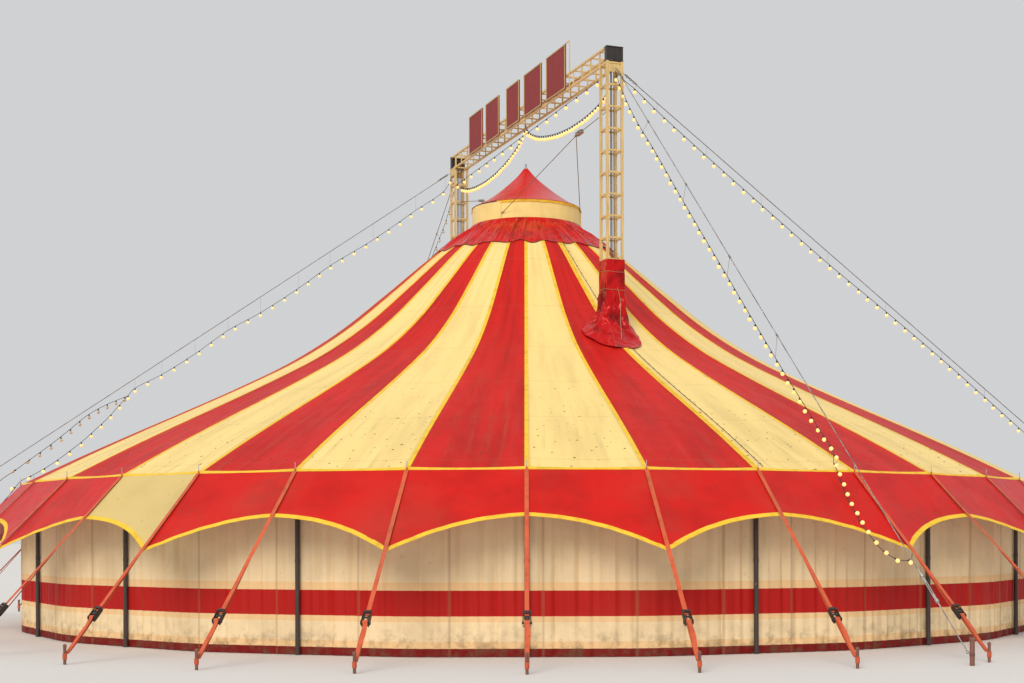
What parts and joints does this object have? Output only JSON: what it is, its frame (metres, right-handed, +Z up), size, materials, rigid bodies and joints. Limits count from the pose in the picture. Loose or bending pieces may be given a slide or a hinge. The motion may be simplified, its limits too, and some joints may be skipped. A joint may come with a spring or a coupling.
{
  "type": "circus tent",
  "caption": "Round striped circus big top hung from lattice masts, with scalloped valance, side walls, strapped stakes, lantern, blank sign boards and strings of lights.",
  "frame": {"origin": "on the ground, under the middle of the lantern ring", "axes": "+Z up, -Y towards the front of the tent, +X towards its right side as seen from the front"},
  "size_m": [33.75, 28.0502, 12.31],
  "materials": {
    "canopy_cloth": "coated cloth in cream and red bays with golden seams",
    "valance_cloth": "red coated cloth with golden binding",
    "wall_cloth": "cream coated cloth with a red waist band and a dark red bottom flap",
    "boot_cloth": "glossy dark red coated cloth",
    "skirt_cloth": "glossy red coated cloth, gathered",
    "band_cloth": "cream coated cloth with golden trim",
    "roof_cloth": "red coated cloth, glossy",
    "mast_paint": "cream yellow paint, worn",
    "head_paint": "black paint",
    "board_paint": "red paint with a cream edge",
    "frame_steel": "galvanised",
    "pole_paint": "dark paint, worn",
    "strap_webbing": "orange-red polyester webbing with dark ratchets",
    "guy_steel": "galvanised wire rope and fittings",
    "anchor_steel": "dull dark steel",
    "hoist_rope": "dark twisted rope",
    "light_cord": "black cable with warm bulbs"
  },
  "bodies": {
    "root": {"canopy_right_half": "canopy_cloth", "canopy_left_half": "canopy_cloth", "valance_right": "valance_cloth", "valance_back": "valance_cloth", "valance_left": "valance_cloth", "valance_front": "valance_cloth", "side_wall_right": "wall_cloth", "side_wall_back": "wall_cloth", "side_wall_left": "wall_cloth", "side_wall_front": "wall_cloth", "side_poles_right": "pole_paint", "side_poles_back": "pole_paint", "side_poles_left": "pole_paint", "side_poles_front": "pole_paint", "straps_right": "strap_webbing", "straps_back": "strap_webbing", "straps_left": "strap_webbing", "straps_front": "strap_webbing", "front_mast": "mast_paint", "front_mast_head": "head_paint", "front_mast_foot": "frame_steel", "front_mast_boot": "boot_cloth", "front_hoist_ropes": "hoist_rope", "back_mast": "mast_paint", "back_mast_head": "head_paint", "back_mast_foot": "frame_steel", "back_mast_boot": "boot_cloth", "back_hoist_ropes": "hoist_rope", "ridge_truss": "mast_paint", "sign_board_1": "board_paint", "sign_board_2": "board_paint", "sign_board_3": "board_paint", "sign_board_4": "board_paint", "sign_board_5": "board_paint", "lantern_frame": "frame_steel", "lantern_band": "band_cloth", "lantern_roof": "roof_cloth", "lantern_skirt": "skirt_cloth", "right_mast_guy": "guy_steel", "right_guy_anchor": "anchor_steel", "front_mast_guy": "guy_steel", "front_guy_anchor": "anchor_steel", "left_mast_guy": "guy_steel", "left_guy_anchor": "anchor_steel", "back_mast_guy": "guy_steel", "back_guy_anchor": "anchor_steel", "right_light_string": "light_cord", "front_light_string": "light_cord", "back_light_string": "light_cord", "left_light_string": "light_cord", "ridge_light_string": "light_cord", "front_light_swag": "light_cord", "back_light_swag": "light_cord"}
  },
  "joints": []
}
